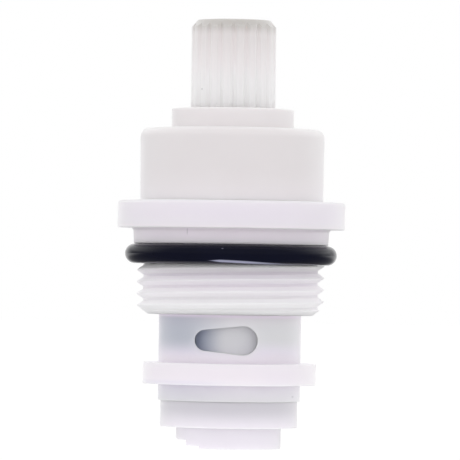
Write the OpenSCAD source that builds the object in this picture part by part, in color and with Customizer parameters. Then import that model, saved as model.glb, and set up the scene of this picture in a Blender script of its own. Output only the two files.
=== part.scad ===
// Faucet stem: a washerless quarter-turn cartridge in white plastic.
// The origin is the centre of the nose's end face, +Z runs up the stem and -Y faces the outlet port.
// The stem is drawn closed. Turned 90 degrees anticlockwise from above it is open.

/* [Heights, from the nose up] */
// Length of the nose
nose_h = 2.5; // [2:0.05:4]
// Length of the inlet sleeve's barrel above the nose
barrel_h = 3.13; // [2.6:0.01:5]
// Length of the housing's lower collar
collar_h = 1.94; // [1.6:0.01:3]
// Thickness of the lower flange
low_flange_h = 2.53; // [2:0.01:4]
// Length of the window barrel between the lower flange and the thread
window_h = 5.73; // [5:0.01:9]
// Length of the thread
thread_h = 5.93; // [4.5:0.01:9]
// Length of the neck under the upper flange
neck_h = 1.87; // [1.2:0.01:3]
// Thickness of the upper flange
flange_h = 3.23; // [2.5:0.01:5]
// Height of the bonnet cap without its boss
cap_h = 8.63; // [7.3:0.01:12]
// Height of the round boss on the cap
boss_h = 2.37; // [1.8:0.01:4]
// Length of the splined end above the boss
spline_h = 10.54; // [8:0.01:14]

/* [Diameters, outside] */
// Nose
nose_d = 12.43; // [11:0.01:14]
// Core that the 7/8 in thread stands on
thread_core_d = 20.4; // [20:0.01:23]
// Neck, at the upper flange
neck_d = 23.26; // [22.5:0.01:25.4]
// How much the neck's radius narrows to the O-ring groove
neck_taper = 0.07; // [0:0.01:0.2]
// Upper flange
flange_d = 27.04; // [25.5:0.01:33]
// Splined end, over its teeth
spline_d = 10.09; // [8:0.01:12.4]

/* [Walls and steps] */
// Wall of the window barrel round the rotor's bore
window_wall = 1.455; // [1:0.005:2.5]
// Width of the lower flange outside the window barrel
low_flange_w = 1.835; // [1:0.005:3]
// Wall of the sleeve's spigot in the housing
sleeve_wall = 0.65; // [0.5:0.01:1]
// Wall of the lower collar round that spigot
collar_wall = 0.735; // [0.5:0.005:1.5]
// Step from the lower collar in to the inlet sleeve's barrel
barrel_step = 0.295; // [0:0.005:0.4]
// Wall of the cap's boss round the journal
boss_wall = 2.015; // [1.2:0.005:3]
// Wall of the cap round the housing's spigot
cap_wall = 1.53; // [1.2:0.01:2]
// Wall of the housing's spigot in the cap
spigot_wall = 1.8; // [1.6:0.01:2.2]

/* [Outlet port] */
// Half width of the port's small end, which is a round
port_r_small = 1.25; // [0.8:0.01:1.6]
// Half width of the port's big end, which is a round
port_r_big = 1.74; // [1.2:0.01:2.2]
// Distance of the small end's centre to the left of the axis
port_x_small = 2.86; // [2:0.01:3.4]
// Distance of the big end's centre to the right of the axis
port_x_big = 1.55; // [1:0.01:2.4]
// How far the port lies below the middle of the window barrel
port_drop = 0.13; // [0:0.01:0.5]

/* [Bores and fits] */
// Bore that the rotor turns in
bore_d = 14; // [11.6:0.01:16.8]
// Ledge at the top of that bore, on which the stop ring lies
ledge_w = 0.5; // [0.4:0.01:0.8]
// Radial wall of the stop ring
ring_wall = 1.15; // [1:0.01:1.5]
// Radial clearance of what turns in its bore
running_gap = 0.05; // [0.02:0.01:0.09]
// Radial clearance of what is pushed in and stays
seat_gap = 0.05; // [0.02:0.01:0.1]
// Gap between faces that slide or lie on each other
face_gap = 0.02; // [0.01:0.01:0.04]
// Space beside what touches nothing
free_gap = 0.1; // [0.05:0.01:0.15]

/* [Seals] */
// Section of the body O-ring
body_seal_t = 2.32; // [2:0.01:3.2]
// Outside diameter of the body O-ring
body_seal_d = 25.2; // [24:0.05:26.5]
// Section of the two O-rings on the spindle's journal
stem_seal_t = 1; // [0.8:0.01:1.2]
// Section of the O-ring between the cap and the housing
cap_seal_t = 0.8; // [0.6:0.01:0.9]
// Section of the O-ring round the rotor
rotor_seal_t = 1; // [0.8:0.01:1.2]
// Thickness of the rubber seat seal under the fixed disc
seat_seal_h = 1.28; // [1:0.01:1.5]
// Space along the axis in the body O-ring's groove
body_groove_slack = 0.1; // [0.04:0.01:0.3]
// The same in the grooves of the small O-rings
groove_slack = 0.3; // [0.1:0.01:0.4]
// Height of the lower stem O-ring over the hub's end
stem_seal_up = 2.4; // [1.8:0.05:2.6]
// Distance between the two stem O-rings
stem_seal_pitch = 3; // [2.4:0.05:3.4]
// Land between the cap's O-ring groove and the bevel over it
cap_seal_land = 0.55; // [0.4:0.01:0.6]
// Depth of the rotor's O-ring under the rotor's top
rotor_seal_drop = 2.4; // [1.2:0.05:4]

/* [Spindle] */
// Number of teeth of the spline
spline_teeth = 20; // [16:1:24]
// Angle of the first tooth from +X when closed, in degrees
spline_start = 9; // [0:0.5:18]
// Depth of the spline's teeth
spline_depth = 0.3; // [0.2:0.01:0.5]
// Height of the bevel round the top of the spline
spline_bevel_h = 0.85; // [0.4:0.01:1.2]
// Width of the same bevel
spline_bevel_w = 0.7; // [0.3:0.01:0.9]
// Diameter of the hole for the handle's screw
screw_d = 3.5; // [3:0.05:4]
// Depth of the hole for the handle's screw
screw_h = 9; // [6:0.1:11]
// Depth of the journal's end under the top of the boss
journal_sink = 0.4; // [0.25:0.01:0.8]
// Step from the spline's teeth out to the journal in the cap
journal_step = 0.155; // [0.1:0.005:0.3]
// Thickness of the collar that bears on the thrust washer
thrust_h = 1.5; // [1.2:0.01:1.8]
// Width of the same collar outside the journal
thrust_w = 0.8; // [0.7:0.01:1.1]
// Step from the journal in to the shank under the collar
shank_step = 0.7; // [0.5:0.01:1.2]
// Thickness of the drive tongue, which is as wide as the shank
tongue_t = 3; // [2.4:0.05:3.6]
// Length of the drive tongue
tongue_h = 4.8; // [3.5:0.05:5]
// Thickness of the thrust washer
washer_h = 0.5; // [0.4:0.01:0.6]

/* [Quarter-turn stops] */
// Turn from closed to open, in degrees
turn = 90; // [80:1:100]
// Width of the stop lug on the collar, in degrees
lug_angle = 40; // [30:1:50]
// Space left between the lug and each stop, in degrees
stop_slack = 1; // [0.5:0.1:2]
// Angle of the lug's first edge from +X when closed, in degrees
lug_start = 70; // [60:1:80]
// Space under the lug
lug_gap = 0.24; // [0.1:0.01:0.3]
// Width of the key under the stop ring
ring_key_w = 2.5; // [1.5:0.05:3.5]
// Depth of the same key
ring_key_h = 1.1; // [0.6:0.05:1.6]

/* [Cap and its joint] */
// Thickness of the cap's top
cap_top_h = 1.8; // [1.4:0.01:2.4]
// Length of the hub inside the cap, under its top
hub_h = 4; // [3.4:0.01:4.4]
// Width of the hub outside the spindle's thrust collar
hub_lap = 0.7; // [0.5:0.01:0.8]
// Space between the end of the housing's spigot and the cap's top
spigot_end_gap = 1.39; // [0.8:0.01:1.6]
// How much the cap's radius narrows to its foot
cap_draft = 0.08; // [0:0.01:0.12]
// Height of the snap bead's middle over the upper flange
snap_up = 1.9; // [1.5:0.01:2.3]
// Height of the snap bead that holds the cap
snap_bead_h = 0.8; // [0.5:0.01:1]
// Depth of the same bead
snap_bead_t = 0.25; // [0.1:0.01:0.3]

/* [Discs and rotor] */
// Thickness of each ceramic disc
disc_h = 2.28; // [1.8:0.01:2.75]
// Thickness of the floor that the inlet hole goes through
inlet_floor_h = 2; // [1.6:0.05:2.2]
// Length of the sleeve's spigot in the housing
sleeve_spigot_h = 1.67; // [1.4:0.01:1.9]
// Height of the spigot's lip above the fixed disc
sleeve_lip_h = 0.42; // [0.2:0.01:0.6]
// Angle of each of a disc's two ports, in degrees
disc_port_angle = 76; // [60:1:84]
// Outer radius of a disc's ports
disc_port_r = 4.9; // [4:0.01:5]
// Inner radius of a disc's ports
disc_port_hub_r = 1.2; // [0.8:0.01:2]
// Width of the notches that key or drive a disc
notch_w = 2.4; // [2:0.05:3]
// Depth of the same notches
notch_d = 1.25; // [1:0.05:1.4]
// Wall of the rotor
rotor_wall = 1.75; // [1.5:0.01:2]
// Thickness between the rotor's chamber and the tongue's slot
rotor_ceiling_h = 1.1; // [0.8:0.05:1.6]
// Depth of the rotor's top under the neck's foot
rotor_top_drop = 0.18; // [0:0.01:0.5]
// Length of the rotor's prongs in the moving disc's notches
prong_h = 1.1; // [0.6:0.05:1.6]
// Inlet hole in the nose
inlet_d = 6.4; // [5:0.05:7]

/* [Key on the nose] */
// Height of the outer step cut into the nose's left edge
key_high_h = 1; // [0.5:0.01:1.5]
// Width of the outer step
key_high_w = 1.215; // [0.6:0.005:1.6]
// Height of the inner step
key_low_h = 0.32; // [0.15:0.01:0.45]
// Width of both steps together
key_low_w = 2.765; // [1.8:0.005:3]
// Rounding of the nose's left side over the outer step
key_round = 0.28; // [0.1:0.01:0.4]

/* [Edges] */
// Height of the lead-in bevel at the foot of the thread's core
thread_lead_h = 0.3; // [0.1:0.01:0.6]
// Width of the same bevel
thread_lead_w = 0.4; // [0.1:0.01:0.6]
// Rounding of the cap's top corner
cap_round = 1; // [0.5:0.05:1.3]
// Rounding of the upper flange's top corner
flange_round = 0.4; // [0.2:0.05:0.7]
// Rounding of the boss's top corner
boss_round = 0.2; // [0.1:0.05:0.5]
// Fillet at the root of the upper flange, over the neck
neck_root_round = 0.45; // [0.1:0.05:0.6]
// Small rounding of the other outside edges
edge_round = 0.1; // [0.05:0.01:0.2]

/* [Hidden] */

white = [0.93, 0.92, 0.94];
natural = [0.9, 0.88, 0.87];
rubber = [0.1, 0.11, 0.16];
ceramic = [0.96, 0.95, 0.92];
$fn = 96;
skin = 0.01; // how far a cut runs past the face it opens
over = 1; // how far a piece that merges or a cut in the open runs on

// Diameters that follow from the bores and the walls
window_d = bore_d + 2 * window_wall;
low_flange_d = window_d + 2 * low_flange_w;
recess_d = bore_d + 2 * (sleeve_wall + seat_gap);
collar_d = recess_d + 2 * collar_wall;
barrel_d = collar_d - 2 * barrel_step;
journal_d = spline_d + 2 * journal_step;
thrust_d = journal_d + 2 * thrust_w;
shank_d = journal_d - 2 * shank_step;
hub_d = thrust_d + 2 * hub_lap;
ring_bore_r = thrust_d / 2 + free_gap;
chamber_d = max(bore_d + 2 * ledge_w, 2 * (ring_bore_r + ring_wall + seat_gap));
spigot_d = chamber_d + 2 * spigot_wall;
cavity_r = spigot_d / 2 + seat_gap;
cap_d = 2 * (cavity_r + cap_wall + cap_draft);
boss_d = journal_d + 2 * (running_gap + boss_wall);
groove_r = body_seal_d / 2 - body_seal_t - face_gap;
groove_h = body_seal_t + body_groove_slack;

// Levels of the outside, from the nose's end up
collar_z = nose_h + barrel_h;
low_flange_z = collar_z + collar_h;
window_z = low_flange_z + low_flange_h;
thread_z = window_z + window_h;
groove_z = thread_z + thread_h;
neck_z = groove_z + groove_h;
flange_z = neck_z + neck_h;
cap_z = flange_z + flange_h;
boss_z = cap_z + cap_h;
boss_top_z = boss_z + boss_h;
top_z = boss_top_z + spline_h;

// Inlet sleeve and what lies in it: inlet hole, chamber, seat seal, fixed disc
spigot_end_z = collar_z + sleeve_spigot_h;
sleeve_spigot_r = recess_d / 2 - seat_gap;
pocket_r = bore_d / 2 - seat_gap;
disc_r = pocket_r - free_gap;
fixed_disc_z = spigot_end_z - sleeve_lip_h - disc_h;
moving_disc_z = fixed_disc_z + disc_h + face_gap;
pocket_z = fixed_disc_z - face_gap - seat_seal_h;
chamber_r = disc_port_r + free_gap;

// Cap, its hub and the housing's spigot
cavity_top_z = boss_z - cap_top_h;
hub_z = cavity_top_z - hub_h;
spigot_top_z = cavity_top_z - spigot_end_gap;
snap_z = cap_z + snap_up;
spigot_bevel = 0.3;
cap_seal_groove_h = cap_seal_t + groove_slack;
cap_seal_z = spigot_top_z - spigot_bevel - cap_seal_land - cap_seal_groove_h / 2;

// Spindle
journal_r = journal_d / 2;
cap_bore_r = journal_r + running_gap;
journal_top_z = boss_top_z - journal_sink;
journal_bevel = 0.2;
washer_z = hub_z - face_gap - washer_h;
thrust_z = washer_z - face_gap - thrust_h;
ring_floor_z = thrust_z - lug_gap;
washer_r = thrust_d / 2;
stem_seal_r = cap_bore_r - face_gap;
stem_groove_r = stem_seal_r - stem_seal_t - face_gap;
stem_groove_h = stem_seal_t + groove_slack;
stem_seal_zs = [hub_z + stem_seal_up, hub_z + stem_seal_up + stem_seal_pitch];
spline_r = spline_d / 2;
spline_root_r = spline_r - spline_depth;

// Stop ring: open over the lug's sweep
ring_r = chamber_d / 2 - seat_gap;
lug_r = ring_r - free_gap;
ring_key_angle = lug_start + lug_angle / 2 + turn / 2 + 180;

// Rotor: a cup over the moving disc with the tongue's slot in its closed end
rotor_r = bore_d / 2 - running_gap;
rotor_bore_r = rotor_r - rotor_wall;
rotor_z = moving_disc_z + disc_h + face_gap;
rotor_top_z = neck_z - rotor_top_drop;
tongue_gap = running_gap;
rotor_slot_z = rotor_top_z - tongue_h - tongue_gap;
rotor_ceiling_z = rotor_slot_z - rotor_ceiling_h;
rotor_seal_z = rotor_top_z - rotor_seal_drop;
rotor_seal_r = bore_d / 2 - face_gap;
rotor_groove_r = rotor_seal_r - rotor_seal_t - face_gap;
rotor_groove_h = rotor_seal_t + groove_slack;

port_z = (window_z + thread_z) / 2 - port_drop;

// A piece turned about the axis from an outline of [radius, height] points
module turned(outline) {
    rotate_extrude() polygon(outline);
}

// An O-ring of section t, with its outer edge at radius r and its middle at height z
module o_ring(r, t, z) {
    translate([0, 0, z]) rotate_extrude() translate([r - t / 2, 0]) circle(d = t, $fn = 48);
}

// A cut round a shaft: everything outside radius r over height h
module groove_cut(r, outer_r, z, h) {
    difference() {
        translate([0, 0, z - h / 2]) cylinder(r = outer_r, h = h);
        translate([0, 0, z - h / 2 - skin]) cylinder(r = r, h = h + 2 * skin);
    }
}

// A solid sector of a ring from angle a0 to a1, measured from +X
module sector(r0, r1, z, h, a0, a1) {
    translate([0, 0, z]) rotate([0, 0, a0]) rotate_extrude(angle = a1 - a0)
        translate([r0, 0]) square([r1 - r0, h]);
}

// Points of an arc of radius r about [x, 0] from angle a0 to a1
function arc(x, r, a0, a1, steps = 20) = [
    for (i = [0 : steps]) let (a = a0 + (a1 - a0) * i / steps) [x + r * cos(a), r * sin(a)]
];

// Outline of the port: two rounds joined by their common tangents, narrow end to the left
module port_outline() {
    lean = asin((port_r_big - port_r_small) / (port_x_small + port_x_big));
    polygon(concat(
        arc(-port_x_small, port_r_small, 90 + lean, 270 - lean),
        arc(port_x_big, port_r_big, -90 - lean, 90 + lean)
    ));
}

// The port cut outwards to -Y from the axis
module port_cut() {
    translate([0, 0, port_z]) rotate([90, 0, 0]) linear_extrude(height = window_d)
        port_outline();
}

// Points of a quarter round at an outer top corner [r, z], from the side to the top
function top_corner(r, z, round, steps = 8) = [
    for (i = [0 : steps]) let (a = 90 * i / steps)
        [r - round + round * cos(a), z - round + round * sin(a)]
];

// The same at an outer bottom corner, from the bottom to the side
function low_corner(r, z, round, steps = 5) = [
    for (i = [0 : steps]) let (a = 90 * i / steps)
        [r - round + round * sin(a), z + round - round * cos(a)]
];

// The same in the inner corner between a side and the face above it, from the side to the face
function root_corner(r, z, round, steps = 8) = [
    for (i = [0 : steps]) let (a = 90 * i / steps)
        [r + round - round * cos(a), z - round + round * sin(a)]
];

module housing_outside() {
    core_r = thread_core_d / 2;
    neck_r = neck_d / 2;
    spigot_r = spigot_d / 2;
    turned(concat(
        [[0, collar_z]],
        low_corner(collar_d / 2, collar_z, edge_round),
        [[collar_d / 2, low_flange_z]],
        low_corner(low_flange_d / 2, low_flange_z, edge_round),
        top_corner(low_flange_d / 2, window_z, edge_round, 5),
        [
            [window_d / 2, window_z],
            [window_d / 2, thread_z],
            [core_r - thread_lead_w, thread_z],
            [core_r, thread_z + thread_lead_h],
            [core_r, groove_z],
            [groove_r, groove_z],
            [groove_r, neck_z]
        ],
        low_corner(neck_r - neck_taper, neck_z, edge_round),
        root_corner(neck_r, flange_z, neck_root_round),
        low_corner(flange_d / 2, flange_z, edge_round),
        top_corner(flange_d / 2, cap_z, flange_round),
        [
            [spigot_r, cap_z],
            [spigot_r, snap_z - snap_bead_h / 2],
            [spigot_r + snap_bead_t, snap_z],
            [spigot_r, snap_z + snap_bead_h / 2],
            [spigot_r, spigot_top_z - spigot_bevel],
            [spigot_r - spigot_bevel, spigot_top_z],
            [0, spigot_top_z]
        ]
    ));
}

module housing() {
    cap_seal_groove_r = cavity_r - 2 * face_gap - cap_seal_t;
    color(white) difference() {
        housing_outside();
        translate([0, 0, collar_z - over]) cylinder(d = bore_d, h = top_z);
        translate([0, 0, collar_z - over])
            cylinder(d = recess_d, h = spigot_end_z + face_gap - collar_z + over);
        translate([0, 0, ring_floor_z]) cylinder(d = chamber_d, h = top_z);
        groove_cut(cap_seal_groove_r, spigot_d, cap_seal_z, cap_seal_groove_h);
        // notch for the stop ring's key
        rotate([0, 0, ring_key_angle])
            translate([bore_d / 2 - over, -ring_key_w / 2 - seat_gap, ring_floor_z - ring_key_h - seat_gap])
            cube([chamber_d / 2 - bore_d / 2 + over, ring_key_w + 2 * seat_gap, ring_key_h + over]);
        port_cut();
    }
}

module body_o_ring() {
    color(rubber) o_ring(body_seal_d / 2, body_seal_t, (groove_z + neck_z) / 2);
}

module bonnet_cap() {
    snap_r = cavity_r + snap_bead_t + seat_gap;
    color(natural) turned(concat(
        [
            [cavity_r, cap_z],
            [cap_d / 2 - cap_draft, cap_z]
        ],
        top_corner(cap_d / 2, boss_z, cap_round),
        [[boss_d / 2, boss_z]],
        top_corner(boss_d / 2, boss_top_z, boss_round),
        [
            [cap_bore_r + edge_round, boss_top_z],
            [cap_bore_r, boss_top_z - edge_round],
            [cap_bore_r, hub_z],
            [hub_d / 2, hub_z],
            [hub_d / 2, cavity_top_z],
            [cavity_r, cavity_top_z],
            [cavity_r, snap_z + snap_bead_h / 2 + seat_gap],
            [snap_r - seat_gap, snap_z],
            [cavity_r, snap_z - snap_bead_h / 2 - seat_gap]
        ]
    ));
}

module cap_o_ring() {
    color(rubber) o_ring(cavity_r - face_gap, cap_seal_t, cap_seal_z);
}

module stop_ring() {
    ring_h = hub_z - 2 * face_gap - ring_floor_z;
    open_start = lug_start - stop_slack;
    open_end = lug_start + lug_angle + turn + stop_slack;
    color(white) union() {
        sector(ring_bore_r, ring_r, ring_floor_z, ring_h, open_end, open_start + 360);
        // key on the underside, in the housing's notch
        intersection() {
            rotate([0, 0, ring_key_angle])
                translate([ring_bore_r + free_gap, -ring_key_w / 2, ring_floor_z - ring_key_h])
                cube([ring_r, ring_key_w, ring_key_h + over]);
            translate([0, 0, ring_floor_z - ring_key_h]) cylinder(r = ring_r, h = ring_key_h + over);
        }
    }
}

// Outline of the nose from the front: two steps on the left key it in its seat
module nose_outline() {
    r = nose_d / 2;
    polygon(concat(
        [
            [r + over, nose_h],
            [-r - over, nose_h],
            [-r - over, key_high_h + key_round]
        ],
        [
            for (a = [0 : 15 : 90])
                [-r - skin + key_round * (1 - cos(a)), key_high_h + key_round * (1 - sin(a))]
        ],
        [
            [-r + key_high_w, key_high_h],
            [-r + key_high_w, key_low_h],
            [-r + key_low_w, key_low_h],
            [-r + key_low_w, -over],
            [r + over, -over]
        ]
    ));
}

module inlet_sleeve() {
    color(white) difference() {
        union() {
            turned(concat(
                [[0, nose_h]],
                low_corner(barrel_d / 2, nose_h, edge_round),
                [
                    [barrel_d / 2, collar_z],
                    [sleeve_spigot_r, collar_z],
                    [sleeve_spigot_r, spigot_end_z],
                    [0, spigot_end_z]
                ]
            ));
            intersection() {
                translate([0, nose_d, 0]) rotate([90, 0, 0])
                    linear_extrude(height = 2 * nose_d) nose_outline();
                turned(concat(
                    [[0, 0]],
                    low_corner(nose_d / 2, 0, edge_round),
                    [[nose_d / 2, nose_h], [0, nose_h]]
                ));
            }
        }
        translate([0, 0, -over]) cylinder(d = inlet_d, h = nose_h + over);
        translate([0, 0, inlet_floor_h]) cylinder(r = chamber_r, h = pocket_z - inlet_floor_h + skin);
        difference() {
            translate([0, 0, pocket_z]) cylinder(r = pocket_r, h = spigot_end_z - pocket_z + over);
            disc_keys(fixed_disc_z, 0);
        }
    }
}

// Two ribs that fill a disc's notches, less their clearance
module disc_keys(z, angle, h = disc_h, r = pocket_r + over) {
    for (side = [0, 180]) rotate([0, 0, angle + side])
        translate([disc_r - notch_d + seat_gap, -notch_w / 2 + seat_gap, z])
        cube([r - disc_r + notch_d, notch_w - 2 * seat_gap, h]);
}

// A ceramic disc with two sector ports and two notches in its rim
module ceramic_disc(z, port_angle, notch_angle) {
    color(ceramic) difference() {
        translate([0, 0, z]) cylinder(r = disc_r, h = disc_h);
        for (side = [0, 180]) {
            sector(disc_port_hub_r, disc_port_r, z - over, disc_h + 2 * over,
                port_angle + side - disc_port_angle / 2, port_angle + side + disc_port_angle / 2);
            rotate([0, 0, notch_angle + side]) translate([disc_r - notch_d, -notch_w / 2, z - over])
                cube([notch_d + over, notch_w, disc_h + 2 * over]);
        }
    }
}

module fixed_disc() {
    ceramic_disc(fixed_disc_z, 90, 0);
}

module moving_disc() {
    ceramic_disc(moving_disc_z, 90 - turn, 90);
}

// Rubber ring between the sleeve's floor and the fixed disc, with a lip at its inner edge
module seat_seal() {
    bevel = 0.2;
    color(rubber) turned([
        [chamber_r, pocket_z],
        [disc_r, pocket_z],
        [disc_r, pocket_z + seat_seal_h - bevel],
        [disc_r - bevel, pocket_z + seat_seal_h],
        [chamber_r + bevel, pocket_z + seat_seal_h],
        [chamber_r, pocket_z + seat_seal_h - bevel]
    ]);
}

// Outline of the spline: trapezoid teeth, each with two root points and three tip points
module spline_outline() {
    step = 360 / spline_teeth;
    half_root = 0.44; // half widths of a tooth at its root and its tip, as shares of the step
    half_tip = 0.22;
    tooth = [
        [spline_root_r, -half_root],
        [spline_r, -half_tip],
        [spline_r, 0],
        [spline_r, half_tip],
        [spline_root_r, half_root]
    ];
    polygon([
        for (i = [0 : spline_teeth - 1], p = tooth)
            let (a = spline_start + step * (i + p[1]))
                p[0] * [cos(a), sin(a)]
    ]);
}

module spline() {
    bevel_z = top_z - spline_bevel_h;
    intersection() {
        translate([0, 0, journal_top_z - over]) linear_extrude(height = top_z - journal_top_z + over)
            spline_outline();
        union() {
            cylinder(r = spline_r + over, h = bevel_z);
            translate([0, 0, bevel_z])
                cylinder(r1 = spline_r + face_gap, r2 = spline_r - spline_bevel_w, h = spline_bevel_h);
        }
    }
}

module spindle() {
    shank_r = shank_d / 2;
    color(natural) difference() {
        union() {
            spline();
            turned([
                [0, rotor_top_z + face_gap],
                [shank_r, rotor_top_z + face_gap],
                [shank_r, thrust_z],
                [thrust_d / 2, thrust_z],
                [thrust_d / 2, thrust_z + thrust_h],
                [journal_r, thrust_z + thrust_h],
                [journal_r, journal_top_z - journal_bevel],
                [spline_root_r, journal_top_z],
                [0, journal_top_z]
            ]);
            sector(shank_r - over, lug_r, thrust_z, thrust_h, lug_start, lug_start + lug_angle);
            intersection() {
                translate([-shank_r, -tongue_t / 2, rotor_top_z - tongue_h])
                    cube([shank_d, tongue_t, tongue_h + over]);
                translate([0, 0, rotor_slot_z]) cylinder(r = shank_r, h = tongue_h + 2 * over);
            }
        }
        for (z = stem_seal_zs) groove_cut(stem_groove_r, journal_r + over, z, stem_groove_h);
        translate([0, 0, top_z - screw_h]) cylinder(d = screw_d, h = screw_h + over);
    }
}

module upper_stem_o_ring() {
    color(rubber) o_ring(stem_seal_r, stem_seal_t, stem_seal_zs[1]);
}

module lower_stem_o_ring() {
    color(rubber) o_ring(stem_seal_r, stem_seal_t, stem_seal_zs[0]);
}

module thrust_washer() {
    color(ceramic) difference() {
        translate([0, 0, washer_z]) cylinder(r = washer_r, h = washer_h);
        translate([0, 0, washer_z - over]) cylinder(r = journal_r + running_gap, h = washer_h + 2 * over);
    }
}

module rotor() {
    slot_t = tongue_t + 2 * tongue_gap;
    slot_w = shank_d + 2 * tongue_gap;
    color(natural) difference() {
        union() {
            translate([0, 0, rotor_z]) cylinder(r = rotor_r, h = rotor_top_z - rotor_z);
            // prongs that turn the moving disc
            intersection() {
                disc_keys(rotor_z - prong_h, 90, prong_h + over);
                translate([0, 0, rotor_z - prong_h]) cylinder(r = disc_r, h = prong_h + over);
            }
        }
        translate([0, 0, rotor_z - skin]) cylinder(r = rotor_bore_r, h = rotor_ceiling_z - rotor_z);
        groove_cut(rotor_groove_r, rotor_r + over, rotor_seal_z, rotor_groove_h);
        // side port, which meets the housing's port when the stem is open
        rotate([0, 0, -turn]) port_cut();
        intersection() {
            translate([-slot_w / 2, -slot_t / 2, rotor_slot_z]) cube([slot_w, slot_t, tongue_h + over]);
            translate([0, 0, rotor_slot_z]) cylinder(r = slot_w / 2, h = tongue_h + over);
        }
    }
}

module rotor_o_ring() {
    color(rubber) o_ring(rotor_seal_r, rotor_seal_t, rotor_seal_z);
}

housing();
body_o_ring();
bonnet_cap();
cap_o_ring();
stop_ring();
inlet_sleeve();
seat_seal();
fixed_disc();
spindle();
upper_stem_o_ring();
lower_stem_o_ring();
thrust_washer();
rotor();
rotor_o_ring();
moving_disc();
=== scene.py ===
"""Faucet stem: finishes, body thread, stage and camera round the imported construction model.

Lengths are in metres, in the model's own frame: the origin is the centre of the nose's end face,
+Z runs up the stem and -Y faces the outlet port.
"""
import math
from typing import NamedTuple

import bmesh
import bpy
from mathutils import Euler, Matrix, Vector


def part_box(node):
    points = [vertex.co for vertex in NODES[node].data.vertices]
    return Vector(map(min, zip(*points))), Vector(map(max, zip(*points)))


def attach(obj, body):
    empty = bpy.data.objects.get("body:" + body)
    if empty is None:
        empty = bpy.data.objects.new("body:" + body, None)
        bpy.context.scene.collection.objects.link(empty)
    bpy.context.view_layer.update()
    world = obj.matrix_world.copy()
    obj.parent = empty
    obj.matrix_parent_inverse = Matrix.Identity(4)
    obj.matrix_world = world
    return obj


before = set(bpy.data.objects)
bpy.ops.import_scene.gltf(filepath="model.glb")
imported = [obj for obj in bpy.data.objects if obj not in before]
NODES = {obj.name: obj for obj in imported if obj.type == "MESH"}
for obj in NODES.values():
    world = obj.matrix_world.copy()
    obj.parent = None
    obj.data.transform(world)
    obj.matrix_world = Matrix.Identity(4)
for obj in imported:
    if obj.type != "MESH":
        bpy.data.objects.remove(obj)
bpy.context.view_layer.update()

bl_info = {
    "name": "Faucet Stem Finishes",
    "version": (1, 0, 0),
    "blender": (4, 5, 0),
    "location": "3D View > Sidebar > Faucet Stem",
    "description": "Gives a faucet stem its plastics, rubber, ceramics, thread and studio stage",
    "category": "Object",
}

MM = 0.001

# Steps of noise to the metre, in the shade and in the roughness of a moulded skin
CLOUD_SCALE = 190.0
SMEAR_SCALE = 620.0

SEAL_NODES = ("cap_o_ring", "upper_stem_o_ring", "lower_stem_o_ring", "rotor_o_ring", "seat_seal")
DISC_NODES = ("fixed_disc", "moving_disc")
ACETAL_NODES = {
    "housing": "housing", "spindle": "spindle", "rotor": "rotor", "bonnet_cap": "cap",
    "inlet_sleeve": "sleeve", "stop_ring": "sleeve",
}


class Fade(NamedTuple):
    """A smooth step along X, Y, Z or the radius, between two places in mm"""

    along: str
    start: float
    full: float
    at_start: float = 0.0


class Tint(NamedTuple):
    """A faint colour over a plastic, where all of its fades are full"""

    colour: str
    strength: float
    fades: tuple


class Mark(NamedTuple):
    """A small oval mark at a place in mm"""

    strength: float
    centre: tuple
    half_size: tuple


class Acetal(NamedTuple):
    """How a moulded plastic differs from the others: how deep light goes in, in mm, its gloss
    as a share of the full gloss, and its faint tints and marks"""

    glow_depth: float
    gloss: float = 1.0
    tints: tuple = ()
    marks: tuple = ()


# The front of the window barrel, round the port
WINDOW_FRONT = (Fade("Y", 2, -2.5), Fade("Z", 10.6, 13.2), Fade("Z", 15.9, 15.3))
# The bevel round the spindle's end face
ROUND_END = Fade("radius", 4, 4.4, at_start=0.25)
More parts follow.
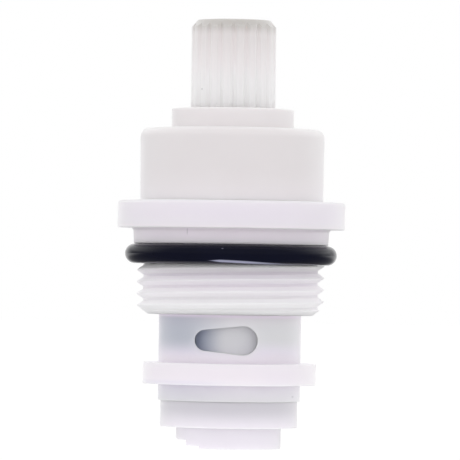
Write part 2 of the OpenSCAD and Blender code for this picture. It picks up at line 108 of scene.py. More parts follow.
# Each acetal's name is also the name of its colour
ACETALS = {
    "housing": Acetal(
        glow_depth=1.2,
        tints=(
            Tint("low_cast", 0.035, (Fade("Z", 16, 14),)),
            # Painted shade: the window barrel's recess between the thread and the lower flange
            Tint("recess_shade", 0.3, WINDOW_FRONT),
            # Painted shade: the left of the window barrel's front, darker towards the left
            Tint("left_shade", 0.36, (*WINDOW_FRONT, Fade("X", 1, -7))),
            # Painted shade: the left of the collar below the lower flange
            Tint("left_shade", 0.1, (Fade("X", 2, -7), Fade("Z", 8.3, 7.8))),
            # Painted shade: the collar and the housing below the lower flange, darker downwards
            Tint("recess_shade", 0.2, (Fade("Z", 8.4, 5.4),)),
            # Painted shade: the lower neck next to the O-ring and the core behind the thread
            Tint("recess_shade", 0.16, (Fade("Z", 25.4, 24.4), Fade("Z", 16, 17))),
            Tint("flange_cast", 0.06, (Fade("Z", 26, 26.6),)),
        ),
        marks=(
            Mark(0.3, centre=(-5.14, -10.3, 25.6), half_size=(0.1, 1, 0.6)),
            Mark(0.35, centre=(7.5, -3.4, 6.25), half_size=(0.22, 1.2, 0.22)),
        ),
    ),
    "spindle": Acetal(
        glow_depth=4,
        gloss=0.1,
        tints=(
            # Painted shade on the spline crests, evening out their lit ridges
            Tint("painted_shade", 0.055, (Fade("radius", 4.76, 5),)),
            # Painted shade on the spindle's tip, stronger on its end bevel
            Tint("tip", 0.28, (Fade("Z", 42, 51.5), ROUND_END)),
            Tint("tip", 0.38, (Fade("Z", 48.8, 50.5), ROUND_END)),
        ),
        marks=(Mark(0.5, centre=(-3.7, -3.4, 42.5), half_size=(0.12, 0.6, 0.12)),),
    ),
    "rotor": Acetal(
        glow_depth=0.4,
        # Painted shade: the rotor's front left, seen through the port, darker towards the left
        tints=(Tint("left_shade", 0.55, (Fade("X", -0.3, -4), Fade("Y", -3, -4))),),
    ),
    # Painted shade on the sleeve's barrel, darker upwards towards the collar
    "sleeve": Acetal(glow_depth=0.5, tints=(Tint("painted_shade", 0.29, (Fade("Z", 2.8, 4.9),)),)),
    "cap": Acetal(
        glow_depth=0.4,
        # Painted shade on the cap, rising from its foot to its middle and easing at its top
        tints=(Tint("waist_shade", 0.09, (Fade("Z", 29, 33.5), Fade("Z", 38.5, 36.5, at_start=0.2))),),
    ),
    "thread": Acetal(
        glow_depth=3,
        gloss=0.2,
        # Painted shade on the thread's upper turns, darker towards the O-ring
        tints=(Tint("painted_shade", 0.22, (Fade("Z", 17, 22), Fade("Z", 21.7, 21))),),
    ),
}


class StemThreadSizes(bpy.types.PropertyGroup):
    """Sizes of the thread on the housing"""

    crest_d: bpy.props.FloatProperty(
        name="Crest diameter", description="Diameter over the thread's crests, 7/8 in",
        default=22.225 * MM, min=21 * MM, max=24 * MM, unit="LENGTH", precision=5,
    )
    core_d: bpy.props.FloatProperty(
        name="Core diameter", description="Diameter of the core between the crests",
        default=20.75 * MM, min=20 * MM, max=22 * MM, unit="LENGTH", precision=5,
    )
    pitch: bpy.props.FloatProperty(
        name="Pitch", description="Rise in one turn, 18 to the inch",
        default=25.4 * MM / 18, min=1 * MM, max=2 * MM, unit="LENGTH", precision=5,
    )
    crest_flat: bpy.props.FloatProperty(
        name="Crest flat", description="Width of the flat on each crest",
        default=0.12 * MM, min=0.02 * MM, max=0.3 * MM, unit="LENGTH", precision=5,
    )
    root_flat: bpy.props.FloatProperty(
        name="Root flat", description="Width of the flat between two crests",
        default=0.29 * MM, min=0.02 * MM, max=0.4 * MM, unit="LENGTH", precision=5,
    )
    first_crest_z: bpy.props.FloatProperty(
        name="First crest", description="Height of the lowest whole crest on the +X side",
        default=17.5 * MM, unit="LENGTH", precision=5,
    )
    bottom_z: bpy.props.FloatProperty(
        name="Bottom", description="Height of the thread's lower end, at its lead-in bevel's foot",
        default=15.835 * MM, unit="LENGTH", precision=5,
    )
    top_z: bpy.props.FloatProperty(
        name="Top", description="Height of the O-ring groove's lower wall",
        default=21.755 * MM, unit="LENGTH", precision=5,
    )
    seat_r: bpy.props.FloatProperty(
        name="Seat radius", description="Radius of the thread's ring inside the housing's wall",
        default=7.6 * MM, unit="LENGTH", precision=5,
    )
    lead_slope: bpy.props.FloatProperty(
        name="Lead-in slope",
        description="Growth of the lead-in bevel's radius per metre of height",
        default=1.34, min=0.5, max=3,
    )
    lead_r: bpy.props.FloatProperty(
        name="Lead-in radius", description="Radius of the lead-in bevel at the thread's lower end",
        default=9.81 * MM, unit="LENGTH", precision=5,
    )


class StemFinishColours(bpy.types.PropertyGroup):
    """Colours of the stem's materials"""

    housing: bpy.props.FloatVectorProperty(
        name="Housing acetal", description="Colour of the housing",
        subtype="COLOR", size=3, min=0, max=1, default=(0.943, 0.861, 0.977),
    )
    # Painted light: the thread is the housing's own acetal, in a lighter colour so that its shaded
    # flanks come out lighter
    thread: bpy.props.FloatVectorProperty(
        name="Thread acetal", description="Colour of the thread's thin, more translucent ridge",
        subtype="COLOR", size=3, min=0, max=1, default=(0.975, 0.918, 0.995),
    )
    sleeve: bpy.props.FloatVectorProperty(
        name="Sleeve acetal", description="Colour of the inlet sleeve and the stop ring",
        subtype="COLOR", size=3, min=0, max=1, default=(0.858, 0.826, 0.883),
    )
    # Painted shade: the rotor is the same acetal as the housing, in a darker grey, as it is seen
    # only in the shade behind the port
    rotor: bpy.props.FloatVectorProperty(
        name="Rotor acetal", description="Colour of the rotor",
        subtype="COLOR", size=3, min=0, max=1, default=(0.77, 0.77, 0.79),
    )
    # Painted shade: the grey on the left of the window barrel, of the collar and of the rotor
    # behind the port
    left_shade: bpy.props.FloatVectorProperty(
        name="Water stain", description="Colour of the grey that water leaves beside the port",
        subtype="COLOR", size=3, min=0, max=1, default=(0.1, 0.17, 0.34),
    )
    # Painted shade: the grey in the recesses under the flanges and the thread
    recess_shade: bpy.props.FloatVectorProperty(
        name="Water film", description="Colour of the thin film that water leaves on the housing",
        subtype="COLOR", size=3, min=0, max=1, default=(0.38, 0.52, 0.32),
    )
    # Painted shade: the faint grey on the spline crests, the sleeve's top and the thread's upper
    # turns
    painted_shade: bpy.props.FloatVectorProperty(
        name="Handled plastic",
        description="Colour of the faint grey that handling leaves on plastic",
        subtype="COLOR", size=3, min=0, max=1, default=(0.24, 0.25, 0.27),
    )
    # Painted shade on the spindle's tip and its end bevel
    tip: bpy.props.FloatVectorProperty(
        name="Spindle tip", description="Colour of the grey on the spindle's tip",
        subtype="COLOR", size=3, min=0, max=1, default=(0.12, 0.12, 0.07),
    )
    # Painted shade round the middle and the top of the cap
    waist_shade: bpy.props.FloatVectorProperty(
        name="Cap's waist", description="Colour of the faint grey round the middle of the cap",
        subtype="COLOR", size=3, min=0, max=1, default=(0.2, 0.2, 0.2),
    )
    mark: bpy.props.FloatVectorProperty(
        name="Marks", description="Colour of the small marks and specks on the plastics",
        subtype="COLOR", size=3, min=0, max=1, default=(0.3, 0.28, 0.32),
    )
    low_cast: bpy.props.FloatVectorProperty(
        name="Lower cast", description="Colour cast of the housing below its thread",
        subtype="COLOR", size=3, min=0, max=1, default=(0.05, 0.75, 0.6),
    )
    flange_cast: bpy.props.FloatVectorProperty(
        name="Flange cast", description="Colour cast of the housing's upper flange",
        subtype="COLOR", size=3, min=0, max=1, default=(0.1, 0.6, 0.1),
    )
    cap: bpy.props.FloatVectorProperty(
        name="Cap acetal", description="Colour of the cap",
        subtype="COLOR", size=3, min=0, max=1, default=(0.932, 0.89, 0.901),
    )
    # The spindle's tip is darkened by painted shade
    spindle: bpy.props.FloatVectorProperty(
        name="Spindle acetal", description="Colour of the spindle, below its darker tip",
        subtype="COLOR", size=3, min=0, max=1, default=(1.0, 0.95, 0.965),
    )
    rubber: bpy.props.FloatVectorProperty(
        name="Black rubber", description="Colour of the O-rings and the seat seal",
        subtype="COLOR", size=3, min=0, max=1, default=(0.0045, 0.0052, 0.015),
    )
    ceramic: bpy.props.FloatVectorProperty(
        name="Ceramic", description="Colour of the two discs",
        subtype="COLOR", size=3, min=0, max=1, default=(0.84, 0.82, 0.77),
    )
    # A painted glint along the body O-ring's lower edge, and one real speck in the same colour
    glint_and_speck: bpy.props.FloatVectorProperty(
        name="Grease", description="Colour of the thin grease on the body O-ring",
        subtype="COLOR", size=3, min=0, max=1, default=(0.36, 0.37, 0.5),
    )
    washer: bpy.props.FloatVectorProperty(
        name="Washer plastic", description="Colour of the thrust washer",
        subtype="COLOR", size=3, min=0, max=1, default=(0.78, 0.78, 0.75),
    )


class StemStageSizes(bpy.types.PropertyGroup):
    """Place of the camera and strength of the lights"""

    eye_distance: bpy.props.FloatProperty(
        name="Eye distance", description="Distance from the camera to the stem's axis",
        default=0.58, min=0.2, max=2, unit="LENGTH",
    )
    eye_height: bpy.props.FloatProperty(
        name="Eye height", description="Height of the camera over the floor",
        default=20.2 * MM, min=0, max=0.2, unit="LENGTH", precision=5,
    )
    aim_height: bpy.props.FloatProperty(
        name="Aim height", description="Height on the stem's axis at the middle of the picture",
        default=25.9 * MM, min=0, max=0.1, unit="LENGTH", precision=5,
    )
    aim_side: bpy.props.FloatProperty(
        name="Aim to the side", description="Place along X at the middle of the picture",
        default=-0.15 * MM, unit="LENGTH", precision=5,
    )
    roll: bpy.props.FloatProperty(
        name="Roll", description="Turn of the camera about its line of sight",
        default=math.radians(0.83), unit="ROTATION",
    )
    lens: bpy.props.FloatProperty(
        name="Focal length", description="Focal length in millimetres on a 36 mm sensor",
        default=381.6, min=50, max=1000,
    )
    level_light: bpy.props.FloatProperty(
        name="Level light", description="Strength of the tent's walls beside the stem",
        default=0.93, min=0, max=2,
    )
    level_ends: bpy.props.FloatProperty(
        name="Level light, ends", description="How much stronger the walls are in front and behind",
        default=0.2, min=-1, max=2,
    )
    level_right: bpy.props.FloatProperty(
        name="Level light, right", description="How much stronger the wall on the right is",
        default=-0.03, min=-1, max=2,
    )
    slant_light: bpy.props.FloatProperty(
        name="Slant light", description="Strength of the tent between its walls and its top",
        default=0.9, min=0, max=2,
    )
    slant_back: bpy.props.FloatProperty(
        name="Slant light, behind",
        description="How much stronger the slant light is behind the stem",
        default=0.15, min=-1, max=2,
    )
    top_light: bpy.props.FloatProperty(
        name="Top light", description="Strength of the tent's top",
        default=0.74, min=0, max=3,
    )
    hood_light: bpy.props.FloatProperty(
        name="Hood", description="Strength of the dark hood round the camera, seen only in gloss",
        default=0.1, min=0, max=1,
    )
    near_floor_light: bpy.props.FloatProperty(
        name="Floor light, near", description="Strength of the floor's light round the stem's foot",
        default=1.14, min=0, max=2,
    )
    far_floor_light: bpy.props.FloatProperty(
        name="Floor light, far", description="Strength of the floor's light further out",
        default=0.78, min=0, max=2,
    )
    softbox_place: bpy.props.FloatVectorProperty(
        name="Softbox", description="Place of the softbox behind the stem on its right",
        size=3, default=(0.36, 0.3, 0.06), subtype="TRANSLATION", unit="LENGTH",
    )
    softbox_aim: bpy.props.FloatVectorProperty(
        name="Softbox aim", description="Point on the stem's axis at which the softbox is aimed",
        size=3, default=(0, 0, 0.025), subtype="TRANSLATION", unit="LENGTH",
    )
    softbox_size: bpy.props.FloatProperty(
        name="Softbox size", description="Length of the softbox's sides",
        default=0.22, min=0.01, max=1, unit="LENGTH",
    )
    softbox_power: bpy.props.FloatProperty(
        name="Softbox power", description="Power of the softbox in watts",
        default=0.06, min=0, max=1, unit="POWER",
    )


def link_object(name, mesh):
    piece = bpy.data.objects.new(name, mesh)
    bpy.context.scene.collection.objects.link(piece)
    return piece


def set_material(piece, material):
    piece.data.materials.clear()
    piece.data.materials.append(material)


def new_group(name, inputs, outputs):
    """A shader node group with named sockets, and its group input and output nodes"""
    group = bpy.data.node_groups.new(name, "ShaderNodeTree")
    for socket_name, kind, value in inputs:
        socket = group.interface.new_socket(socket_name, in_out="INPUT", socket_type=kind)
        socket.default_value = value
    for socket_name, kind in outputs:
        group.interface.new_socket(socket_name, in_out="OUTPUT", socket_type=kind)
    source = group.nodes.new("NodeGroupInput")
    sink = group.nodes.new("NodeGroupOutput")
    return group, source, sink


def add_node(tree, kind, links=(), **settings):
    """A node with its attributes set and its inputs linked or given values"""
    node = tree.nodes.new(kind)
    for key, value in settings.items():
        setattr(node, key, value)
    for socket, value in links:
        if isinstance(value, bpy.types.NodeSocket):
            tree.links.new(value, node.inputs[socket])
        else:
            node.inputs[socket].default_value = value
    return node


def add_math(tree, operation, a, b=0.0):
    return add_node(tree, "ShaderNodeMath", [(0, a), (1, b)], operation=operation).outputs[0]


def ramp(tree, value, start, end, low, high):
    """A smooth step from one value to another"""
    return add_node(
        tree, "ShaderNodeMapRange",
        [("Value", value), ("From Min", start), ("From Max", end), ("To Min", low),
         ("To Max", high)],
        interpolation_type="SMOOTHSTEP",
    ).outputs["Result"]


def noise(tree, place, scale, detail, roughness=0.5, distortion=0.0):
    """Soft noise from 0 to 1"""
    return add_node(
        tree, "ShaderNodeTexNoise",
        [("Vector", place), ("Scale", scale), ("Detail", detail), ("Roughness", roughness),
         ("Distortion", distortion)],
    ).outputs["Fac"]


def moulded_skin_group():
    """Shade, roughness and grain of a moulded plastic or rubber skin"""
    group, source, sink = new_group(
        "Moulded Skin",
        [
            ("Color", "NodeSocketColor", (0.8, 0.8, 0.8, 1)),
            ("Shade Variation", "NodeSocketFloat", 0.03),
            ("Grain Size", "NodeSocketFloat", 0.2 * MM),
            ("Roughness", "NodeSocketFloat", 0.4),
            ("Roughness Variation", "NodeSocketFloat", 0.08),
        ],
        [
            ("Color", "NodeSocketColor"), ("Roughness", "NodeSocketFloat"),
            ("Height", "NodeSocketFloat"),
        ],
    )
    place = add_node(group, "ShaderNodeTexCoord").outputs["Object"]
    cloud = noise(group, place, CLOUD_SCALE, detail=3.0, roughness=0.55)
    grain_scale = add_math(group, "DIVIDE", 1.0, source.outputs["Grain Size"])
    grain = noise(group, place, grain_scale, detail=4.0, roughness=0.6)
    smear = noise(group, place, SMEAR_SCALE, detail=5.0, distortion=0.8)
    centred = add_math(group, "SUBTRACT", cloud, 0.5)
    shade = add_math(group, "MULTIPLY", centred, source.outputs["Shade Variation"])
    value = add_math(group, "ADD", 1.0, shade)
    colour = add_node(
        group, "ShaderNodeHueSaturation", [("Color", source.outputs["Color"]), ("Value", value)]
    ).outputs["Color"]
    group.links.new(colour, sink.inputs["Color"])
    centred = add_math(group, "SUBTRACT", smear, 0.5)
    shift = add_math(group, "MULTIPLY", centred, source.outputs["Roughness Variation"])
    roughness = add_math(group, "ADD", source.outputs["Roughness"], shift)
    group.links.new(roughness, sink.inputs["Roughness"])
    group.links.new(grain, sink.inputs["Height"])
    return group


def new_material(name):
    """A material with only a Principled shader and its output"""
    material = bpy.data.materials.new(name)
    material.use_nodes = True
    tree = material.node_tree
    tree.nodes.clear()
    shader = tree.nodes.new("ShaderNodeBsdfPrincipled")
    output = tree.nodes.new("ShaderNodeOutputMaterial")
    tree.links.new(shader.outputs["BSDF"], output.inputs["Surface"])
    return material, tree, shader


def skin_material(name, group, colour, roughness, grain, depth, variation=0.03, spread=0.08):
    """A material whose colour, roughness and bump come from the moulded skin"""
    material, tree, shader = new_material(name)
    skin = tree.nodes.new("ShaderNodeGroup")
    skin.node_tree = group
    skin.inputs["Color"].default_value = (*colour, 1)
    skin.inputs["Shade Variation"].default_value = variation
    skin.inputs["Grain Size"].default_value = grain
    skin.inputs["Roughness"].default_value = roughness
    skin.inputs["Roughness Variation"].default_value = spread
    bump = add_node(
        tree, "ShaderNodeBump",
        [("Strength", 1.0), ("Distance", depth), ("Height", skin.outputs["Height"])],
    )
    tree.links.new(skin.outputs["Color"], shader.inputs["Base Color"])
    tree.links.new(skin.outputs["Roughness"], shader.inputs["Roughness"])
    tree.links.new(bump.outputs["Normal"], shader.inputs["Normal"])
    return material, tree, shader


def place_axes(tree):
    """X, Y and Z of a point on the piece, in the model's frame"""
    place = add_node(tree, "ShaderNodeTexCoord").outputs["Object"]
    return add_node(tree, "ShaderNodeSeparateXYZ", [("Vector", place)]).outputs


def length(tree, vector):
    node = add_node(tree, "ShaderNodeVectorMath", [(0, vector)], operation="LENGTH")
    return node.outputs["Value"]


def place_radius(tree, axes):
    """A point's distance from the stem's axis"""
    across = add_node(tree, "ShaderNodeCombineXYZ", [("X", axes["X"]), ("Y", axes["Y"])])
    return length(tree, across.outputs["Vector"])


def small_mark_group():
    """A soft oval spot at a place on a surface, 1 in its middle and 0 outside"""
    group, source, sink = new_group(
        "Small Mark",
        [
            ("Centre", "NodeSocketVector", (0, 0, 0)),
            ("Half Size", "NodeSocketVector", (MM, MM, MM)),
        ],
        [("Mask", "NodeSocketFloat")],
    )
    core_share = 0.3
    place = add_node(group, "ShaderNodeTexCoord").outputs["Object"]
    offset = add_node(
        group, "ShaderNodeVectorMath", [(0, place), (1, source.outputs["Centre"])],
        operation="SUBTRACT",
    ).outputs["Vector"]
    share = add_node(
        group, "ShaderNodeVectorMath", [(0, offset), (1, source.outputs["Half Size"])],
        operation="DIVIDE",
    ).outputs["Vector"]
    spot = ramp(group, length(group, share), 1.0, core_share, 0.0, 1.0)
    group.links.new(spot, sink.inputs["Mask"])
    return group


def tint(tree, shader, mask, colour):
    """Lay a colour over the shader's base colour where a mask is 1"""
    below = shader.inputs["Base Color"].links[0].from_socket
    mixed = add_node(
        tree, "ShaderNodeMix", [(0, mask), (6, below), (7, (*colour, 1))], data_type="RGBA"
    ).outputs[2]
    tree.links.new(mixed, shader.inputs["Base Color"])


def small_mark(tree, centre, half_size):
    """The mask of one small mark"""
    mark = tree.nodes.new("ShaderNodeGroup")
    mark.node_tree = bpy.data.node_groups["Small Mark"]
    mark.inputs["Centre"].default_value = centre
    mark.inputs["Half Size"].default_value = half_size
    return mark.outputs["Mask"]


def acetal_material(name, group, colour, glow_depth, gloss):
    """Moulded acetal: satin, with light that goes a little way in"""
    material, tree, shader = skin_material(
        name, group, colour, roughness=0.36, grain=0.16 * MM, depth=0.004 * MM
    )
    shader.inputs["Specular IOR Level"].default_value = 0.5 * gloss
    shader.inputs["Coat Weight"].default_value = 0.4 * gloss
    shader.inputs["Coat Roughness"].default_value = 0.2
    shader.inputs["Sheen Weight"].default_value = 0.8
    shader.inputs["Sheen Roughness"].default_value = 0.5
    shader.inputs["Subsurface Weight"].default_value = 1
    shader.inputs["Subsurface Radius"].default_value = (1.0, 1.0, 1.0)
    shader.inputs["Subsurface Scale"].default_value = glow_depth
    shader.inputs["IOR"].default_value = 1.48
    return material, tree, shader


def finished_acetal(name, group, colours):
    """An acetal with its tints and marks"""
    acetal = ACETALS[name]
    material, tree, shader = acetal_material(
        f"{name.capitalize()} acetal", group, getattr(colours, name),
        acetal.glow_depth * MM, acetal.gloss,
    )
    axes = place_axes(tree)
    for colour, strength, fades in acetal.tints:
        mask = strength
        for along, start, full, at_start in fades:
            value = place_radius(tree, axes) if along == "radius" else axes[along]
            step = ramp(tree, value, start * MM, full * MM, at_start, 1.0)
            mask = add_math(tree, "MULTIPLY", mask, step)
        tint(tree, shader, mask, getattr(colours, colour))
    for strength, centre, half_size in acetal.marks:
        spot = small_mark(tree, Vector(centre) * MM, Vector(half_size) * MM)
        tint(tree, shader, add_math(tree, "MULTIPLY", strength, spot), colours.mark)
    return material


class StemOperator:
    """What the stem's operators share"""

    bl_options = {"REGISTER", "UNDO"}


class STEM_OT_acetal(StemOperator, bpy.types.Operator):
    """Give the moulded acetal pieces their white and natural plastics"""

    bl_idname = "stem.acetal"
    bl_label = "Acetal pieces"

    def execute(self, context):
        colours = context.scene.stem_colours
        group = moulded_skin_group()
        small_mark_group()
        materials = {name: finished_acetal(name, group, colours) for name in ACETALS}
        for node, name in ACETAL_NODES.items():
            set_material(NODES[node], materials[name])
        return {"FINISHED"}


class STEM_OT_seals(StemOperator, bpy.types.Operator):
    """Give the O-rings and the seat seal their black rubber, and the body O-ring a painted glint
    and a speck
    """

    bl_idname = "stem.seals"
    bl_label = "Rubber seals"

    def execute(self, context):
        colours = context.scene.stem_colours
        group = bpy.data.node_groups["Moulded Skin"]
        rubber = self.rubber("Black rubber", group, colours)[0]
        for name in SEAL_NODES:
            set_material(NODES[name], rubber)
        greased, tree, shader = self.rubber("Rubber with painted glint", group, colours)
        # Painted highlight: a glint along the body O-ring's lower edge, and a speck
        tint(tree, shader, self.glint_and_speck_mask(tree), colours.glint_and_speck)
        set_material(NODES["body_o_ring"], greased)
        return {"FINISHED"}

    def rubber(self, name, group, colours):
        material, tree, shader = skin_material(
            name, group, colours.rubber, roughness=0.14, grain=0.3 * MM, depth=0.003 * MM,
            variation=0.5, spread=0.06,
        )
        shader.inputs["Specular IOR Level"].default_value = 0.17
        return material, tree, shader

    def glint_and_speck_mask(self, tree):
        """A painted glint, a thin strip of light along the ring's lower edge in front, and one
        speck over it

        Along the ring the places run from -1 at its left end to 1 at its right end; widths and
        heights are shares of half of its section.
        """
        low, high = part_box("body_o_ring")
        middle, half_section = (low[2] + high[2]) / 2, (high[2] - low[2]) / 2
        left_tail, right_tail = (-0.26, -0.08), (0.1, 0.75)
        half_width, tail_share, soft_edge = 0.17, 0.35, 0.12
        sinking, left_depth, right_depth = (-0.3, 0.6), 0.66, 0.95
        fading, tail_strength = (0.05, 0.75), 0.2
        speck_x, speck_height, speck_strength = -1 * MM, 0.65 * MM, 0.3
        speck_half_size = (0.2 * MM, 0.7 * MM, 0.1 * MM)
        x, y, z = place_axes(tree)
        along = add_math(tree, "DIVIDE", x, high[0])
        height = add_math(tree, "DIVIDE", add_math(tree, "SUBTRACT", z, middle), half_section)
        width = add_math(tree, "MULTIPLY", ramp(tree, along, *left_tail, 0.0, half_width),
                         ramp(tree, along, *right_tail, 1.0, tail_share))
        depth = ramp(tree, along, *sinking, left_depth, right_depth)
        off_line = add_math(tree, "ABSOLUTE", add_math(tree, "ADD", height, depth))
        inside = add_math(tree, "SUBTRACT", width, off_line)
        # The strip of painted glint
        smear = ramp(tree, inside, 0.0, soft_edge, 0.0, 1.0)
        smear = add_math(tree, "MULTIPLY", smear, ramp(tree, along, *fading, 1.0, tail_strength))
        front = ramp(tree, y, -0.1 * MM, 0.1 * MM, 1.0, 0.0)
        smear = add_math(tree, "MULTIPLY", smear, front)
        speck = small_mark(tree, (speck_x, low[1], middle + speck_height), speck_half_size)
        return add_math(tree, "MAXIMUM", smear, add_math(tree, "MULTIPLY", speck, speck_strength))


class STEM_OT_ceramics(StemOperator, bpy.types.Operator):
    """Give the two discs their lapped ceramic and the washer its matt plastic"""

    bl_idname = "stem.ceramics"
    bl_label = "Discs and washer"

    def execute(self, context):
        colours = context.scene.stem_colours
        group = bpy.data.node_groups["Moulded Skin"]
        ceramic = skin_material(
            "Lapped ceramic", group, colours.ceramic,
            roughness=0.22, grain=0.08 * MM, depth=0.002 * MM,
        )[0]
        washer = skin_material(
            "Washer plastic", group, colours.washer,
            roughness=0.6, grain=0.12 * MM, depth=0.006 * MM,
        )[0]
        for name in DISC_NODES:
            set_material(NODES[name], ceramic)
        set_material(NODES["thrust_washer"], washer)
        return {"FINISHED"}


def thread_profile(sizes, steps=6):
    """Offsets from a crest's middle over one pitch, and the radius at each, from root to root"""
    crest, core = sizes.crest_d / 2, sizes.core_d / 2
    foot = (sizes.pitch - sizes.root_flat) / 2
    top = sizes.crest_flat / 2
    rise = [
        (-foot + (foot - top) * i / steps, core + (crest - core) * i / steps)
        for i in range(steps + 1)
    ]
    fall = [(-offset, radius) for offset, radius in reversed(rise)]
    return [(-sizes.pitch / 2, core), *rise, *fall, (sizes.pitch / 2, core)]


def radius_at(profile, offset):
    """Radius of the profile at an offset, by straight steps between its points"""
    for (a, ra), (b, rb) in zip(profile, profile[1:]):
        if a <= offset <= b and b > a:
            return ra + (rb - ra) * (offset - a) / (b - a)
    return profile[0][1]


def thread_mesh(sizes, columns=192):
    """A helical ridge, cut square at the O-ring groove and by the lead-in chamfer at the bottom"""
    profile = thread_profile(sizes)
    pitch = sizes.pitch
    inner = sizes.seat_r
    merge_distance = 2e-7
    sharp_angle = math.radians(28)
    first_turn = math.floor((sizes.bottom_z - sizes.first_crest_z) / pitch) - 2
    last_turn = math.ceil((sizes.top_z - sizes.first_crest_z) / pitch) + 1
    mesh = bmesh.new()

    def round_point(radius, column, z):
        angle = 2 * math.pi * column / columns
        return mesh.verts.new((radius * math.cos(angle), radius * math.sin(angle), z))

    def surface_point(column, offset, turn):
        crest_z = sizes.first_crest_z + pitch * (turn + column / columns)
        z = min(max(crest_z + offset, sizes.bottom_z), sizes.top_z)
        phase = (z - sizes.first_crest_z) / pitch - column / columns
        radius = radius_at(profile, (phase - round(phase)) * pitch)
        radius = min(radius, sizes.lead_r + (z - sizes.bottom_z) * sizes.lead_slope)
        return round_point(max(radius, inner), column, z)

    def inner_ring(z):
        return [round_point(inner, column, z) for column in range(columns + 1)]

    def join(low, high):
        for j in range(columns):
            mesh.faces.new((low[j], low[j + 1], high[j + 1], high[j]))

    for turn in range(first_turn, last_turn + 1):
        rows = [
            [surface_point(column, offset, turn) for column in range(columns + 1)]
            for offset, _ in profile
        ]
        for low, high in zip(rows, rows[1:]):
            join(low, high)
    for z, turn in ((sizes.bottom_z, first_turn), (sizes.top_z, last_turn)):
        join([surface_point(column, 0, turn) for column in range(columns + 1)], inner_ring(z))
    join(inner_ring(sizes.top_z), inner_ring(sizes.bottom_z))
    bmesh.ops.remove_doubles(mesh, verts=mesh.verts, dist=merge_distance)
    bmesh.ops.dissolve_degenerate(mesh, edges=mesh.edges, dist=merge_distance)
    bmesh.ops.recalc_face_normals(mesh, faces=mesh.faces)
    data = bpy.data.meshes.new("body_thread")
    mesh.to_mesh(data)
    mesh.free()
    data.shade_smooth()
    data.set_sharp_from_angle(angle=sharp_angle)
    return data


class STEM_OT_body_thread(StemOperator, bpy.types.Operator):
    """Cut the right-hand thread on the housing's core"""

    bl_idname = "stem.body_thread"
    bl_label = "Body thread"

    def execute(self, context):
        thread = link_object("body_thread", thread_mesh(context.scene.stem_thread))
        set_material(thread, bpy.data.materials["Thread acetal"])
        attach(thread, "housing")
        return {"FINISHED"}


def seen_by(tree, *rays):
    """1 where a ray is one of the named kinds"""
    path = tree.nodes.new("ShaderNodeLightPath")
    seen = path.outputs[rays[0]]
    for ray in rays[1:]:
        seen = add_math(tree, "MAXIMUM", seen, path.outputs[ray])
    return seen


def mix_values(tree, factor, a, b):
    node = add_node(tree, "ShaderNodeMix", [(0, factor), (2, a), (3, b)], data_type="FLOAT")
    return node.outputs[0]


def build_world(sizes):
    """White behind the stem, an even light tent round it, and a dark hood in its gloss

    Each span says where a part of the tent starts and where it is full, as X, Y or Z of the
    direction from the stem.
    """
    end_span, off_level_span, top_span = (0.2, 0.8), (0.3, 0.55), (0.75, 1.0)
    behind_span, above_span, over_span = (0.65, 0.95), (0.02, 0.3), (-0.3, 0.5)
    hood_top = 0.35
    world = bpy.data.worlds.new("Light tent")
    bpy.context.scene.world = world
    world.use_nodes = True
    tree = world.node_tree
    tree.nodes.clear()
    direction = add_node(tree, "ShaderNodeTexCoord").outputs["Generated"]
    x, y, z = add_node(tree, "ShaderNodeSeparateXYZ", [("Vector", direction)]).outputs
    ends = ramp(tree, add_math(tree, "ABSOLUTE", y), *end_span, 0.0, sizes.level_ends)
    rightward = add_math(tree, "MULTIPLY", x, sizes.level_right)
    level = add_math(tree, "ADD", sizes.level_light, add_math(tree, "ADD", ends, rightward))
    back = ramp(tree, y, *end_span, 0.0, sizes.slant_back)
    slant = add_math(tree, "ADD", sizes.slant_light, back)
    off_level = ramp(tree, add_math(tree, "ABSOLUTE", z), *off_level_span, 0.0, 1.0)
    walls = mix_values(tree, off_level, level, slant)
    tent = mix_values(tree, ramp(tree, z, *top_span, 0.0, 1.0), walls, sizes.top_light)
    behind = ramp(tree, y, *behind_span, sizes.hood_light, 1.0)
    over = ramp(tree, y, *over_span, hood_top, 1.0)
    above = mix_values(tree, ramp(tree, z, *above_span, 0.0, 1.0), sizes.hood_light, over)
    mirrored = add_math(tree, "MAXIMUM", behind, above)
    in_gloss = seen_by(tree, "Is Glossy Ray", "Is Transmission Ray")
    strength = mix_values(tree, in_gloss, tent, mirrored)
    strength = mix_values(tree, seen_by(tree, "Is Camera Ray"), strength, 1.0)
    light = add_node(
        tree, "ShaderNodeBackground", [("Color", (1, 1, 1, 1)), ("Strength", strength)]
    )
    output = tree.nodes.new("ShaderNodeOutputWorld")
    tree.links.new(light.outputs["Background"], output.inputs["Surface"])


def floor_mesh(radius=1.6, segments=96):
    mesh = bmesh.new()
    bmesh.ops.create_circle(mesh, cap_ends=True, radius=radius, segments=segments)
    data = bpy.data.meshes.new("floor")
    mesh.to_mesh(data)
    mesh.free()
    return data


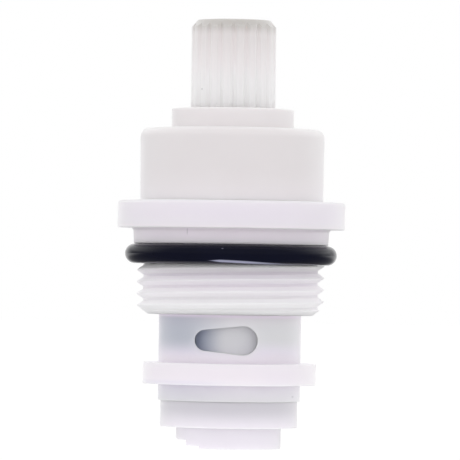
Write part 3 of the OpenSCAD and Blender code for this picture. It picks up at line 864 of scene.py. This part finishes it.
def build_floor(near, far, hood):
    """A pale round floor that shows white and keeps the stem's soft shadow

    The spans are distances from the stem: where the near light ends, where gloss shows white
    all round, and where it shows white behind the stem.
    """
    near_span, white_span, behind_span = (0.01, 0.04), (0.3, 1.2), (0.03, 0.2)
    white, grey, shine_share = 1.06, (0.9, 0.9, 0.9, 1), 0.88
    floor = link_object("floor", floor_mesh())
    material = bpy.data.materials.new("Pale floor")
    material.use_nodes = True
    tree = material.node_tree
    tree.nodes.clear()
    place = add_node(tree, "ShaderNodeTexCoord").outputs["Object"]
    distance = length(tree, place)
    beyond = add_node(tree, "ShaderNodeSeparateXYZ", [("Vector", place)]).outputs["Y"]
    fade = ramp(tree, distance, *near_span, near, far)
    mirrored = add_math(tree, "MAXIMUM", ramp(tree, distance, *white_span, hood, white),
                        ramp(tree, beyond, *behind_span, hood, white))
    in_gloss = seen_by(tree, "Is Glossy Ray", "Is Transmission Ray")
    strength = mix_values(tree, in_gloss, fade, mirrored)
    strength = mix_values(tree, seen_by(tree, "Is Camera Ray"), strength, white)
    diffuse = add_node(tree, "ShaderNodeBsdfDiffuse", [("Color", grey)])
    shine = add_node(
        tree, "ShaderNodeEmission", [("Color", (1, 1, 1, 1)), ("Strength", strength)]
    )
    mix = add_node(
        tree, "ShaderNodeMixShader",
        [(0, shine_share), (1, diffuse.outputs[0]), (2, shine.outputs[0])],
    )
    output = tree.nodes.new("ShaderNodeOutputMaterial")
    tree.links.new(mix.outputs[0], output.inputs["Surface"])
    set_material(floor, material)


def add_area_light(name, place, aim, size, energy):
    """A square soft light at a place, aimed at a point"""
    data = bpy.data.lights.new(name, "AREA")
    data.shape = "SQUARE"
    data.size = size
    data.energy = energy
    lamp = link_object(name, data)
    lamp.location = place
    lamp.rotation_euler = (Vector(aim) - Vector(place)).to_track_quat("-Z", "Y").to_euler()
    lamp.visible_camera = False


def build_camera(sizes):
    """The eye in front of the port, a little below the stem's middle, looking slightly up"""
    data = bpy.data.cameras.new("camera")
    data.lens = sizes.lens
    data.sensor_width = 36
    data.clip_start = 0.01
    camera = link_object("camera", data)
    eye = Vector((sizes.aim_side, -sizes.eye_distance, sizes.eye_height))
    pitch = math.atan2(sizes.aim_height - sizes.eye_height, sizes.eye_distance)
    camera.location = eye
    level = Euler((math.pi / 2 + pitch, 0, 0)).to_matrix()
    turn = Euler((0, 0, sizes.roll)).to_matrix()
    camera.rotation_euler = (level @ turn).to_euler()
    bpy.context.scene.camera = camera


class STEM_OT_stage(StemOperator, bpy.types.Operator):
    """Build the floor, the light tent, the softbox and the camera"""

    bl_idname = "stem.stage"
    bl_label = "Stage"

    def execute(self, context):
        sizes = context.scene.stem_stage
        context.scene.view_settings.view_transform = "Standard"
        build_camera(sizes)
        build_world(sizes)
        build_floor(sizes.near_floor_light, sizes.far_floor_light, sizes.hood_light)
        add_area_light(
            "rim_softbox", sizes.softbox_place, sizes.softbox_aim,
            sizes.softbox_size, sizes.softbox_power,
        )
        return {"FINISHED"}


class STEM_PT_sidebar(bpy.types.Panel):
    """The stem's pieces, their colours and the stage"""

    bl_idname = "STEM_PT_sidebar"
    bl_label = "Faucet Stem"
    bl_space_type = "VIEW_3D"
    bl_region_type = "UI"
    bl_category = "Faucet Stem"

    def draw(self, context):
        scene = context.scene
        for settings in (scene.stem_thread, scene.stem_colours, scene.stem_stage):
            box = self.layout.box()
            for name in settings.__annotations__:
                box.prop(settings, name)
        for operator in OPERATORS:
            self.layout.operator(operator.bl_idname)


OPERATORS = (STEM_OT_acetal, STEM_OT_body_thread, STEM_OT_seals, STEM_OT_ceramics, STEM_OT_stage)
CLASSES = (StemThreadSizes, StemFinishColours, StemStageSizes, *OPERATORS, STEM_PT_sidebar)


def register():
    for cls in CLASSES:
        bpy.utils.register_class(cls)
    bpy.types.Scene.stem_thread = bpy.props.PointerProperty(type=StemThreadSizes)
    bpy.types.Scene.stem_colours = bpy.props.PointerProperty(type=StemFinishColours)
    bpy.types.Scene.stem_stage = bpy.props.PointerProperty(type=StemStageSizes)


def unregister():
    del bpy.types.Scene.stem_stage
    del bpy.types.Scene.stem_colours
    del bpy.types.Scene.stem_thread
    for cls in reversed(CLASSES):
        bpy.utils.unregister_class(cls)


def main():
    register()
    bpy.ops.stem.acetal()
    bpy.ops.stem.body_thread()
    bpy.ops.stem.seals()
    bpy.ops.stem.ceramics()
    bpy.ops.stem.stage()


if __name__ == "__main__":
    main()
